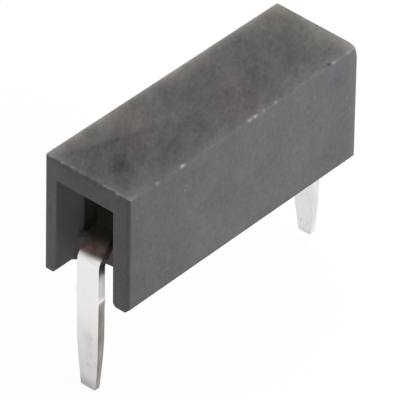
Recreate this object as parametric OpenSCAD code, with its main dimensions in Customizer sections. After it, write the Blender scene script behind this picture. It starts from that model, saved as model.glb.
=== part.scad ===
// Right-angle female header with one position, for a 0.64 mm square post.
// A moulded housing holds one stamped strip contact: a solder tail at each end,
// a ramp up to a flat web inside the cavity and two spring beams that grip the post.
// Frame: the origin lies on the board midway between the tails, +Z points away from
// the board, and -Y points to the front end, where the post goes in.

/* [Housing] */
// Width of the housing at its front end
body_w = 2.67; // [2.6:0.01:2.75]
// How much each side leans in from the front end to the rear end
side_draft = 0.065; // [0:0.005:0.1]
// Height of the housing above the board
body_h = 3.36; // [3.2:0.01:3.6]
// How far the front end of the housing lies outside the front tail
front_margin = 0.03; // [0.01:0.005:0.1]
// How far the rear end of the housing lies outside the rear tail
rear_margin = 0.2; // [0.05:0.01:0.3]
// Thickness of the roof over the cavity
roof_t = 0.61; // [0.5:0.01:0.65]
// Thickness of the side walls along the cavity, as seen at the front end
side_t = 0.29; // [0.24:0.01:0.33]
// Thickness of the floor under the cavity
floor_t = 0.67; // [0.55:0.01:0.75]
// Radius on the outer edges of the roof
edge_r = 0.02; // [0.01:0.005:0.1]
// Size of the flat on each upright edge
corner_cut = 0.04; // [0.02:0.005:0.12]
// Size of the slanted cut along the lower right edge
foot_cut = 0.14; // [0.05:0.01:0.2]

/* [End bays] */
// Depth of the open bay for the tail at each end
bay_l = 0.99; // [0.8:0.005:1.2]
// Wall left of the front arch, at the roof
arch_left_t = 0.355; // [0.34:0.005:0.45]
// Wall right of the front arch, at the roof
arch_right_t = 0.54; // [0.45:0.005:0.6]
// How much each leg of the front arch thins down to the board
arch_draft = 0.02; // [0:0.005:0.08]
// Size of the slanted cut on the inner foot of each leg
leg_cut = 0.08; // [0.02:0.01:0.12]
// Depth of the round notch in the floor, under the front bend of the contact
notch_l = 1.09; // [0.9:0.01:1.3]
// Radius of the notch
notch_r = 1.26; // [1:0.01:1.5]

/* [Contact rail] */
// Width of the rail that carries the contact on the floor
rail_w = 0.6; // [0.4:0.02:0.8]
// Height of the rail above the floor
rail_h = 0.58; // [0.45:0.01:0.65]

/* [Gate mark] */
// Diameter of the dimple that the moulding gate left on the roof
gate_d = 0.3; // [0.2:0.01:0.5]
// Depth of the dimple
gate_depth = 0.03; // [0.01:0.005:0.06]
// Place of the dimple right of the middle
gate_x = 0.17; // [-0.5:0.01:0.5]
// Place of the dimple behind the front face
gate_setback = 0.9; // [0.5:0.01:2]

/* [Tails] */
// Thickness of the contact strip
strip_t = 0.22; // [0.15:0.01:0.25]
// Distance between the middles of the two tails
tail_pitch = 7.62; // [7.2:0.01:8.4]
// Width of the tails
tail_w = 0.68; // [0.5:0.01:0.8]
// Width of a tail at its tip
tip_w = 0.38; // [0.25:0.01:0.45]
// Length of the front tail below the board
tail_l = 2.93; // [2.4:0.01:3.6]
// Length of the front tail's tapered end
taper_l = 2; // [1:0.05:2.3]
// Length of the rear tail below the board
rear_tail_l = 2.7; // [2.4:0.01:3.6]
// Length of the rear tail's tapered end
rear_taper_l = 2.3; // [1:0.05:2.35]
// Size of the cut corners of a tip
tip_cut = 0.04; // [0.01:0.005:0.1]
// Inside radius of the two bends between a tail and the web
bend_r = 0.13; // [0.1:0.01:0.18]
// Length of the straight ramp between the two bends
ramp_l = 0.45; // [0.3:0.01:0.5]
// How far the cut-off nibs stand out from the edges of a tail
nib_out = 0.025; // [0.01:0.005:0.05]
// Height of a nib along the tail
nib_h = 0.36; // [0.2:0.02:0.5]
// Middle of the nibs below the board
nib_drop = 0.18; // [0:0.01:0.4]

/* [Spring beams] */
// Length of the wide part of the web
web_l = 5.8; // [5.4:0.05:5.9]
// How far the box lies inside the rear end of the wide part
box_inset = 0.85; // [0.5:0.05:1]
// Length of the box that the beams spring from
box_l = 1.3; // [1:0.05:1.6]
// Inside radius of the bends between the web and the box walls
box_bend_r = 0.1; // [0.05:0.01:0.2]
// Clearance between the box and the side walls of the cavity
box_play = 0.05; // [0.02:0.01:0.1]
// Height of a beam at its root
beam_h = 0.96; // [0.8:0.02:1]
// Height of a beam at its tip
beam_tip_h = 0.7; // [0.5:0.02:0.8]
// Length from the box to the noses that grip the post
beam_reach = 2.4; // [2:0.05:2.6]
// Gap between the two noses before the post spreads them
grip_gap = 0.45; // [0.3:0.01:0.55]
// Radius behind each nose
nose_r = 0.3; // [0.2:0.01:0.4]
// Length of the flared tip in front of each nose
flare_l = 0.55; // [0.4:0.01:0.6]
// Angle of the flared tip to the post
flare_angle = 25; // [15:1:35]
// Length of the barbs that hold the box in the cavity
barb_l = 0.4; // [0.2:0.02:0.6]
// Height of the barbs
barb_h = 0.35; // [0.2:0.01:0.5]

/* [Hidden] */
$fn = 64;
// Overlap that lets a cut pass cleanly through a face
cut = 0.1;

// Housing places
front_y = -tail_pitch / 2 - strip_t / 2 - front_margin;
rear_y = tail_pitch / 2 + strip_t / 2 + rear_margin;
body_l = rear_y - front_y;
roof_z = body_h - roof_t;
cavity_w = body_w - 2 * side_t;
draft_angle = atan2(side_draft, body_l);
rail_l = body_l - notch_l - bay_l;
arch_left_x = -body_w / 2 + arch_left_t;
arch_right_x = body_w / 2 - arch_right_t;
arch_mid_x = (arch_left_x + arch_right_x) / 2;
gate_r = (pow(gate_d / 2, 2) + pow(gate_depth, 2)) / (2 * gate_depth);

// Contact places
web_z = floor_t + rail_h;
web_top_z = web_z + strip_t;
// The ramp climbs four for every three along
ramp_angle = atan2(4, 3);
ramp_lean = 90 - ramp_angle;
bend_z = web_z - bend_r - ramp_l * sin(ramp_angle);
bend_y = tail_pitch / 2 - strip_t / 2 - bend_r;
neck_y = bend_y - ramp_l * cos(ramp_angle);
taper_inset = (tail_w - tip_w) / 2;
box_w = cavity_w - 2 * box_play;
web_w = box_w - 2 * (strip_t + box_bend_r);
shoulder_l = (web_w - tail_w) / 2;
socket_z = (web_top_z + roof_z) / 2;

// Beam places: the arm runs from the middle of the box wall, as a tangent, to its nose
root_x = box_w / 2 - strip_t / 2;
root_y = web_l / 2 - box_inset - box_l;
nose_x = grip_gap / 2 + strip_t + nose_r;
nose_y = root_y - beam_reach;
nose_mid_r = nose_r + strip_t / 2;
root_to_nose = norm([root_x - nose_x, beam_reach]);
arm_angle = atan2(root_x - nose_x, beam_reach) + asin(nose_mid_r / root_to_nose);
arm_l = sqrt(pow(root_to_nose, 2) - pow(nose_mid_r, 2));
tip_y = nose_y - (nose_r + strip_t) * sin(flare_angle) - flare_l * cos(flare_angle);

// Half the width of the housing at a place along its length
function side_x(y) = body_w / 2 - side_draft * (y - front_y) / body_l;

// Rectangle with round corners, about the origin
module rounded_rect(w, l, r) {
    square([w - 2 * r, l], center = true);
    square([w, l - 2 * r], center = true);
    for (sx = [-1, 1], sy = [-1, 1])
        translate([sx * (w / 2 - r), sy * (l / 2 - r)])
            circle(r);
}

// Plan of the housing: a little narrower at the rear, with cut corners
module body_plan() {
    right = [
        [side_x(front_y) - corner_cut, front_y],
        [side_x(front_y + corner_cut), front_y + corner_cut],
        [side_x(rear_y - corner_cut), rear_y - corner_cut],
        [side_x(rear_y) - corner_cut, rear_y],
    ];
    left = [for (i = [len(right) - 1:-1:0]) [-right[i].x, right[i].y]];
    polygon(concat(right, left));
}

// Long bar that ends at the right side of the housing: round above, cut by foot below
module side_bar(foot) {
    translate([body_w / 2, front_y, 0])
        rotate(draft_angle)
            translate([-body_w, 0, 0])
                rotate([90, 0, 0])
                    linear_extrude(4 * body_l, center = true)
                        difference() {
                            rounded_rect(2 * body_w, 2 * body_h, edge_r);
                            polygon([
                                [body_w - foot - cut, -cut],
                                [body_w + cut, -cut],
                                [body_w + cut, foot + cut],
                            ]);
                        }
}

// Block on the board with cut upright edges, round roof edges and a cut lower right edge
module body_block() {
    intersection() {
        linear_extrude(body_h)
            body_plan();
        side_bar(foot_cut);
        mirror([1, 0, 0])
            side_bar(0);
        translate([0, (front_y + rear_y) / 2, 0])
            rotate([90, 0, 90])
                linear_extrude(2 * body_w, center = true)
                    rounded_rect(body_l, 2 * body_h, edge_r);
    }
}

// Front arch, seen from the front: open to the board, closed by the roof
module arch_outline() {
    left_foot_x = arch_left_x - arch_draft;
    right_foot_x = arch_right_x + arch_draft;
    polygon([
        [left_foot_x - leg_cut - cut, -cut],
        [right_foot_x + leg_cut + cut, -cut],
        [right_foot_x, leg_cut],
        [arch_right_x, roof_z],
        [arch_left_x, roof_z],
        [left_foot_x, leg_cut],
    ]);
}

// Space between the legs of the front arch, as deep as asked
module arch_prism(depth) {
    translate([0, front_y + depth, 0])
        rotate([90, 0, 0])
            linear_extrude(depth + cut)
                arch_outline();
}

// Front bay: flat at the back above the floor, and a round notch through the floor
module front_bay_cut() {
    intersection() {
        arch_prism(bay_l);
        translate([-body_w / 2, front_y - cut, floor_t])
            cube([body_w, bay_l + 2 * cut, body_h]);
    }
    intersection() {
        arch_prism(notch_l);
        translate([arch_mid_x, front_y + notch_l - notch_r, -cut])
            cylinder(r = notch_r, h = floor_t + 2 * cut);
    }
}

// Space of the contact: wide behind the front arch and open through the rear end
module cavity_cut() {
    translate([-cavity_w / 2, front_y + bay_l, floor_t])
        cube([cavity_w, body_l - bay_l + cut, roof_z - floor_t]);
    translate([-cavity_w / 2, rear_y - bay_l, -cut])
        cube([cavity_w, bay_l + cut, roof_z + cut]);
}

// Shallow round dimple on the roof
module gate_cut() {
    translate([gate_x, front_y + gate_setback, body_h - gate_depth + gate_r])
        sphere(gate_r);
}

module housing() {
    color("#5f5e5d") {
        difference() {
            body_block();
            front_bay_cut();
            cavity_cut();
            gate_cut();
        }
        translate([-rail_w / 2, front_y + notch_l, floor_t])
            cube([rail_w, rail_l, rail_h]);
    }
}

// Flat tail of length l seen from the front: straight, then drawn in on two arcs to a blunt tip
module tail_outline(l, taper) {
    straight_l = l - taper;
    taper_r = (pow(taper, 2) + pow(taper_inset, 2)) / (2 * taper_inset);
    translate([-tail_w / 2, -straight_l])
        square([tail_w, straight_l + bend_z]);
    tip_x = tip_w / 2 - tip_cut;
    corner_z = taper_inset + tip_cut - l;
    intersection() {
        polygon([
            [-tip_x, -l],
            [tip_x, -l],
            [tail_w / 2, corner_z],
            [tail_w / 2, -straight_l],
            [-tail_w / 2, -straight_l],
            [-tail_w / 2, corner_z],
        ]);
        translate([taper_r - tail_w / 2, -straight_l])
            circle(taper_r);
        translate([tail_w / 2 - taper_r, -straight_l])
            circle(taper_r);
    }
    nib_reach = tail_w / 2 + nib_out;
    polygon([
        [-tail_w / 2, -nib_drop - nib_h / 2],
        [tail_w / 2, -nib_drop - nib_h / 2],
        [nib_reach, -nib_drop],
        [tail_w / 2, -nib_drop + nib_h / 2],
        [-tail_w / 2, -nib_drop + nib_h / 2],
        [-nib_reach, -nib_drop],
    ]);
}

// Bend of the strip about the origin, from the X axis on
module strip_bend(angle) {
    rotate_extrude(angle = angle)
        translate([bend_r, -tail_w / 2])
            square([strip_t, tail_w]);
}

// Tail of length l at the front end with the two bends and the ramp that lead up to the web
module tail(l, taper) {
    translate([0, -tail_pitch / 2, 0])
        rotate([90, 0, 0])
            linear_extrude(strip_t, center = true)
                tail_outline(l, taper);
    translate([0, -bend_y, bend_z])
        rotate([90, 0, -90]) {
            strip_bend(ramp_lean);
            rotate(ramp_lean) {
                translate([bend_r, 0, -tail_w / 2])
                    cube([strip_t, ramp_l, tail_w]);
                translate([0, ramp_l, 0])
                    strip_bend(ramp_angle);
            }
        }
}

// Flat web: a neck to each tail and a wide middle with sloping shoulders
module web() {
    half_l = web_l / 2;
    translate([0, 0, web_z])
        linear_extrude(strip_t) {
            square([tail_w, 2 * neck_y], center = true);
            polygon([
                [tail_w / 2, -half_l - shoulder_l],
                [web_w / 2, -half_l],
                [web_w / 2, half_l],
                [tail_w / 2, half_l + shoulder_l],
                [-tail_w / 2, half_l + shoulder_l],
                [-web_w / 2, half_l],
                [-web_w / 2, -half_l],
                [-tail_w / 2, -half_l - shoulder_l],
            ]);
        }
}

// Quarter of a ring in the lower right of the plane, about the origin
module quarter_ring(r, t) {
    intersection() {
        difference() {
            circle(r + t);
            circle(r);
        }
        translate([0, -r - t])
            square(r + t);
    }
}

// Right wall of the box with the bend that leads up from the web and its barb
module box_wall() {
    wall_top_z = socket_z + beam_h / 2;
    wall_foot_z = web_top_z + box_bend_r;
    translate([web_w / 2, root_y + box_l, wall_foot_z])
        rotate([90, 0, 0])
            linear_extrude(box_l)
                quarter_ring(box_bend_r, strip_t);
    translate([box_w / 2 - strip_t, root_y, wall_foot_z])
        cube([strip_t, box_l, wall_top_z - wall_foot_z]);
    translate([box_w / 2, root_y + (box_l - barb_l) / 2, socket_z - barb_h / 2])
        linear_extrude(barb_h)
            polygon([[-strip_t, 0], [0, 0], [box_play, barb_l], [-strip_t, barb_l]]);
}

// Side view of a beam, tallest at its root
module beam_side_outline() {
    polygon([
        [root_y + strip_t, socket_z - beam_h / 2],
        [root_y + strip_t, socket_z + beam_h / 2],
        [root_y, socket_z + beam_h / 2],
        [tip_y, socket_z + beam_tip_h / 2],
        [tip_y, socket_z - beam_tip_h / 2],
        [root_y, socket_z - beam_h / 2],
    ]);
}

// Right spring beam: an arm that leans in, a round nose and a tip that flares out
module beam() {
    intersection() {
        translate([0, 0, socket_z - beam_h / 2]) {
            translate([root_x, root_y, 0])
                cylinder(d = strip_t, h = beam_h);
            translate([nose_x, nose_y, 0]) {
                rotate(180 - arm_angle)
                    translate([nose_r, -arm_l, 0])
                        cube([strip_t, arm_l, beam_h]);
                rotate(180 - arm_angle)
                    rotate_extrude(angle = arm_angle + flare_angle)
                        translate([nose_r, 0])
                            square([strip_t, beam_h]);
                rotate(180 + flare_angle)
                    translate([nose_r, 0, 0])
                        cube([strip_t, flare_l, beam_h]);
            }
        }
        rotate([90, 0, 90])
            linear_extrude(box_w / 2)
                beam_side_outline();
    }
}

module contact() {
    color("#dcdad6") {
        tail(tail_l, taper_l);
        rotate(180)
            tail(rear_tail_l, rear_taper_l);
        web();
        for (side = [0, 1])
            mirror([side, 0, 0]) {
                box_wall();
                beam();
            }
    }
}

housing();
contact();
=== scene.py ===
"""Looks of a one-position right-angle female header: a moulded housing round a formed strip contact.

Meshes are modelled in millimetres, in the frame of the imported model, and scaled to metres at the end.
"""

import logging
import math
from dataclasses import dataclass
from enum import Enum
from typing import Any, Iterable, Sequence

import bmesh
import bpy
from mathutils import Matrix, Vector, noise


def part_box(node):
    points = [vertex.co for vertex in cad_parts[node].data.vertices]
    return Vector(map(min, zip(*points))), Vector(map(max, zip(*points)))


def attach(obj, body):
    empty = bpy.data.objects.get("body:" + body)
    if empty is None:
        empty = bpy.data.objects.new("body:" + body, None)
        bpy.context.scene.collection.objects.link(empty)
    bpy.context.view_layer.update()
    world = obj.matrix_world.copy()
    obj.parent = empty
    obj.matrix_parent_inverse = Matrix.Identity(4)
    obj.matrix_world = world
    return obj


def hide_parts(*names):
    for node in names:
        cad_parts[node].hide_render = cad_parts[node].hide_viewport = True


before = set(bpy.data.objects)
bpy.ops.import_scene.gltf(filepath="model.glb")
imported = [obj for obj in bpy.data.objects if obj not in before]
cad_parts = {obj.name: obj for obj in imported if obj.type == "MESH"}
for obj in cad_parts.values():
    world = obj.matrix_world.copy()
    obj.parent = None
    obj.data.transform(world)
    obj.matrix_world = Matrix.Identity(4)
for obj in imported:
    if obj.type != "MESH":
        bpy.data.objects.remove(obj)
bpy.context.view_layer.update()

log = logging.getLogger("header")

MM = 0.001
BODY = "root"
# Distances, in millimetres, within which two places count as one: in general, and along a fresh cut.
SAME_PLACE = 1e-4
SAME_CUT = 1e-5
Colour = tuple[float, float, float]
Triple = tuple[float, float, float]
Point = tuple[float, float]
Span = tuple[float, float]
Socket = bpy.types.NodeSocket
Number = float | Socket
Paint = Colour | Socket


class Slot(Enum):
    """Names of the material slots of the record."""

    PLASTIC = "moulded_plastic"
    STRIP = "tinned_strip"


class Axis(Enum):
    """Axes of the frame, by their place in a vector."""

    X = 0
    Y = 1
    Z = 2

    def unit(self) -> Vector:
        """The unit vector along this axis."""
        return Vector([1.0 if i == self.value else 0.0 for i in range(3)])


class Side(Enum):
    """Sides of the part, by the sign of their X."""

    LEFT = -1.0
    RIGHT = 1.0


class Keep(Enum):
    """What a Boolean operation keeps of a solid."""

    REST = "DIFFERENCE"
    SHARED = "INTERSECT"


def smoothstep(low: float, high: float, value: float) -> float:
    """Rise smoothly from 0 at low to 1 at high.

    Args:
        low: Value at and below which the result is 0.
        high: Value at and above which the result is 1.
        value: Value to grade.

    Returns:
        The graded value, from 0 to 1.
    """
    t = min(max((value - low) / (high - low), 0.0), 1.0)
    return t * t * (3.0 - 2.0 * t)


def box_mm(node: str) -> tuple[Vector, Vector]:
    """Corners of a CAD node in millimetres.

    Args:
        node: Name of the node.

    Returns:
        Its lowest and its highest corner.
    """
    low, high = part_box(node)
    return low / MM, high / MM


def link_object(name: str, mesh: bpy.types.Mesh) -> bpy.types.Object:
    """Put a mesh into the scene as an object at the origin.

    Args:
        name: Name of the object.
        mesh: Its mesh.

    Returns:
        The new object.
    """
    obj = bpy.data.objects.new(name, mesh)
    bpy.context.scene.collection.objects.link(obj)
    return obj


def object_from(bm: bmesh.types.BMesh, name: str) -> bpy.types.Object:
    """Turn a bmesh into an object and free the bmesh.

    Args:
        bm: The finished bmesh.
        name: Name of the object.

    Returns:
        The new object.
    """
    mesh = bpy.data.meshes.new(name)
    bm.to_mesh(mesh)
    bm.free()
    return link_object(name, mesh)


def apply_modifiers(obj: bpy.types.Object) -> None:
    """Bake an object's modifiers into its mesh.

    Args:
        obj: The object, which loses its modifiers.
    """
    depsgraph = bpy.context.evaluated_depsgraph_get()
    baked = bpy.data.meshes.new_from_object(obj.evaluated_get(depsgraph))
    obj.modifiers.clear()
    obj.data = baked


def discard(objects: Iterable[bpy.types.Object]) -> None:
    """Remove helper objects from the file.

    Args:
        objects: The objects to remove.
    """
    for obj in objects:
        bpy.data.objects.remove(obj, do_unlink=True)


def to_metres(obj: bpy.types.Object) -> None:
    """Scale a finished mesh from millimetres to the metres of the scene.

    Args:
        obj: The object whose mesh is scaled.
    """
    obj.data.transform(Matrix.Scale(MM, 4))
    obj.data.update()


def shade_smooth_by_angle(obj: bpy.types.Object, degrees: float) -> None:
    """Shade a mesh smooth, with hard edges where faces meet at more than an angle.

    Args:
        obj: The object to shade.
        degrees: Angle above which an edge stays hard.
    """
    obj.data.shade_smooth()
    obj.data.set_sharp_from_angle(angle=math.radians(degrees))


@dataclass(frozen=True)
class Grain:
    """A fractal noise: its cells in a unit, its finer layers, their weight and how far it is warped."""

    scale: float
    detail: float = 3.0
    roughness: float = 0.5
    distortion: float = 0.0


class ShaderGraph:
    """Node tree of one material, with short calls to add and join its nodes."""

    def __init__(self, name: str) -> None:
        """Start an empty material.

        Args:
            name: Name of the material.
        """
        self.material = bpy.data.materials.new(name)
        self.material.use_nodes = True
        self.tree = self.material.node_tree
        self.tree.nodes.clear()

    def add(self, kind: str, inputs: dict[str | int, Any] | None = None, **settings: Any) -> bpy.types.Node:
        """Add a node, set it up and feed its inputs.

        Args:
            kind: Blender's identifier of the node type.
            inputs: Socket name or index to a value, or to the socket that feeds it.
            **settings: Properties of the node itself.

        Returns:
            The new node.
        """
        node = self.tree.nodes.new(kind)
        for key, value in settings.items():
            setattr(node, key, value)
        for key, value in (inputs or {}).items():
            if isinstance(value, Socket):
                self.tree.links.new(value, node.inputs[key])
            else:
                node.inputs[key].default_value = value
        return node

    def math(self, operation: str, *terms: Number, clamp: bool = False) -> Socket:
        """Combine numbers.

        Args:
            operation: Name of the Math node's operation.
            *terms: Its inputs in order, each a number or a socket.
            clamp: Whether the result is held between 0 and 1.

        Returns:
            The socket of the result.
        """
        node = self.add("ShaderNodeMath", dict(enumerate(terms)), operation=operation, use_clamp=clamp)
        return node.outputs[0]

    def between(self, share: Socket, low: float, high: float) -> Socket:
        """A number that goes from low to high as a share goes from 0 to 1."""
        return self.math("MULTIPLY_ADD", share, high - low, low)

    def swing(self, pattern: Socket, amount: Number, base: Number) -> Socket:
        """Sway a number about its base.

        Args:
            pattern: Socket of a noise, about 0.5.
            amount: How far the number goes over a full swing of the noise.
            base: The number in the middle of the swing.

        Returns:
            The socket of the swaying number.
        """
        return self.math("MULTIPLY_ADD", self.math("SUBTRACT", pattern, 0.5), amount, base)

    def grade(self, value: Socket, low: float, high: float) -> Socket:
        """Rise smoothly from 0 to 1 as a value goes from low to high.

        Args:
            value: Socket of the number to grade.
            low: Value that gives 0.
            high: Value that gives 1.

        Returns:
            The socket of the graded value.
        """
        node = self.add(
            "ShaderNodeMapRange",
            {"Value": value, "From Min": low, "From Max": high},
            interpolation_type="SMOOTHSTEP",
        )
        return node.outputs["Result"]

    def mix(self, factor: Number, first: Paint, second: Paint, blend: str = "MIX") -> Socket:
        """Mix two colours.

        Args:
            factor: Share of the second colour, a number or a socket.
            first: First colour, three numbers or a socket.
            second: Second colour, three numbers or a socket.
            blend: Name of the blend mode.

        Returns:
            The socket of the mixed colour.
        """
        node = self.add("ShaderNodeMix", data_type="RGBA", blend_type=blend)
        for name, value in (("Factor_Float", factor), ("A_Color", first), ("B_Color", second)):
            socket = next(s for s in node.inputs if s.identifier == name)
            if isinstance(value, Socket):
                self.tree.links.new(value, socket)
            else:
                socket.default_value = value if name == "Factor_Float" else (*value, 1.0)
        return next(s for s in node.outputs if s.identifier == "Result_Color")

    def millimetres(self) -> Socket:
        """The place on the object in millimetres, from Object coordinates."""
        coords = self.add("ShaderNodeTexCoord")
        mapping = self.add(
            "ShaderNodeMapping",
            {"Vector": coords.outputs["Object"], "Scale": (1.0 / MM,) * 3},
        )
        return mapping.outputs["Vector"]

    def stretched(self, vector: Socket, scale: Triple) -> Socket:
        """Scale a vector by a different amount along each axis.

        Args:
            vector: Socket of the vector.
            scale: Factor along X, Y and Z.

        Returns:
            The socket of the scaled vector.
        """
        return self.add("ShaderNodeMapping", {"Vector": vector, "Scale": scale}).outputs["Vector"]

    def turned(self, vector: Socket, angle: float, scale: Triple) -> Socket:
        """Turn a vector about Z and then scale it along each axis.

        Args:
            vector: Socket of the vector.
            angle: Angle of the turn.
            scale: Factor along the turned X, Y and Z.

        Returns:
            The socket of the turned and scaled vector.
        """
        turn = self.add("ShaderNodeMapping", {"Vector": vector, "Rotation": (0.0, 0.0, angle)})
        return self.stretched(turn.outputs["Vector"], scale)

    def noise(self, vector: Socket, grain: Grain) -> Socket:
        """Fractal noise over a vector.

        Args:
            vector: Socket of the place.
            grain: Kind of the noise.

        Returns:
            The socket of the noise, about 0.5.
        """
        inputs = {
            "Vector": vector,
            "Scale": grain.scale,
            "Detail": grain.detail,
            "Roughness": grain.roughness,
            "Distortion": grain.distortion,
        }
        return self.add("ShaderNodeTexNoise", inputs).outputs["Fac"]

    def attribute(self, name: str) -> Socket:
        """The value of a mesh attribute of the piece.

        Args:
            name: Name of the attribute.

        Returns:
            The socket of its value.
        """
        return self.add("ShaderNodeAttribute", attribute_name=name).outputs["Fac"]

    def bump(self, height: Socket, strength: float, distance_mm: float) -> Socket:
        """Fine relief from a height.

        Args:
            height: Socket of the height, 0 to 1.
            strength: Strength of the relief.
            distance_mm: Depth that a height of 1 stands for.

        Returns:
            The socket of the bent normal.
        """
        inputs = {"Height": height, "Strength": strength, "Distance": distance_mm * MM}
        return self.add("ShaderNodeBump", inputs).outputs["Normal"]

    def surface(self, shader: Socket) -> bpy.types.Material:
        """Close the tree with its output.

        Args:
            shader: Socket of the finished shader.

        Returns:
            The material.
        """
        self.add("ShaderNodeOutputMaterial", {"Surface": shader})
        return self.material


@dataclass(frozen=True)
class MouldedPlastic:
    """Dull dark moulding compound: streaky clouds on the roof, pale where edges rub, painted shade deep
    inside.
    """

    cool_side: Colour = (0.0770, 0.0790, 0.0850)
    plain_side: Colour = (0.0815, 0.0795, 0.0835)
    front_colour: Colour = (0.079, 0.0718, 0.078)
    grey_roof: Colour = (0.0605, 0.0605, 0.0560)
    warm_roof: Colour = (0.0675, 0.0590, 0.0560)
    rim_colour: Colour = (0.0675, 0.0615, 0.0550)
    scuff_colour: Colour = (0.31, 0.31, 0.305)
    speck_colour: Colour = (0.15, 0.15, 0.155)
    # Painted shade: a warm olive that sets how dark the walls deep in the cavity look.
    cavity_shade_colour: Colour = (0.100, 0.096, 0.075)
    streak_angle: float = math.radians(-35.0)
    streak_stretch: Triple = (1.7, 0.75, 1.0)
    clouds: Grain = Grain(0.9, 8.0, 0.79)
    roof_clouds: float = 3.2
    side_clouds: float = 1.15
    mottle: Grain = Grain(9.0, 3.0, 0.7)
    roof_mottle: float = 1.0
    side_mottle: float = 0.8
    tint: Grain = Grain(0.75, 5.0, 0.65)
    tint_span: Span = (0.42, 0.60)
    specks: Grain = Grain(6.0, 1.0)
    speck_span: Span = (0.75, 0.80)
    flecks: Grain = Grain(5.0, 5.0, 0.7)
    fleck_span: Span = (0.50, 0.68)
    relief: Grain = Grain(22.0, 3.0, 0.6)
    relief_strength: float = 0.15
    relief_mm: float = 0.01
    roughness: float = 0.6
    cloud_roughness: float = 0.3
    specular_level: float = 0.4

    def build(self) -> bpy.types.Material:
        """Make the material.

        Returns:
            The finished material, which reads the attributes that Housing paints.
        """
        graph = ShaderGraph("moulded_plastic")
        place = graph.millimetres()
        streaked = graph.turned(place, self.streak_angle, self.streak_stretch)
        clouds = graph.noise(streaked, self.clouds)
        mottle = graph.noise(streaked, self.mottle)
        tint = graph.grade(graph.noise(streaked, self.tint), *self.tint_span)
        roof, front = graph.attribute("roof"), graph.attribute("front")
        sides = graph.mix(tint, self.cool_side, self.plain_side)
        sides = graph.mix(front, sides, self.front_colour)
        colour = graph.mix(roof, sides, graph.mix(tint, self.grey_roof, self.warm_roof))
        colour = graph.mix(graph.attribute("rim"), colour, self.rim_colour)
        cloud_depth = graph.between(roof, self.side_clouds, self.roof_clouds)
        mottle_depth = graph.between(roof, self.side_mottle, self.roof_mottle)
        # The tone attribute holds the faces' own tones together with painted highlight, light and shade.
        tone = graph.swing(clouds, cloud_depth, graph.attribute("tone"))
        tone = graph.swing(mottle, mottle_depth, tone)
        colour = graph.mix(1.0, colour, graph.math("MAXIMUM", tone, 0.0), "MULTIPLY")

        plain = graph.math("SUBTRACT", 1.0, graph.math("MAXIMUM", roof, front))
        specks = graph.grade(graph.noise(place, self.specks), *self.speck_span)
        colour = graph.mix(graph.math("MULTIPLY", specks, plain), colour, self.speck_colour)
        flecks = graph.grade(graph.noise(place, self.flecks), *self.fleck_span)
        rubbed = graph.math("MULTIPLY", graph.attribute("rub"), flecks)
        worn = graph.math("MAXIMUM", rubbed, graph.attribute("scuff"))
        colour = graph.mix(worn, colour, self.scuff_colour)
        # Painted shade: deep in the cavity the plastic takes the painted shade colour of the cavity.
        colour = graph.mix(graph.attribute("inside"), colour, self.cavity_shade_colour)

        relief = graph.noise(place, self.relief)
        shader = graph.add("ShaderNodeBsdfPrincipled", {
            "Base Color": colour,
            "Roughness": graph.swing(clouds, self.cloud_roughness, self.roughness),
            "Specular IOR Level": self.specular_level,
            "Normal": graph.bump(relief, self.relief_strength, self.relief_mm),
        })
        return graph.surface(shader.outputs["BSDF"])


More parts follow.
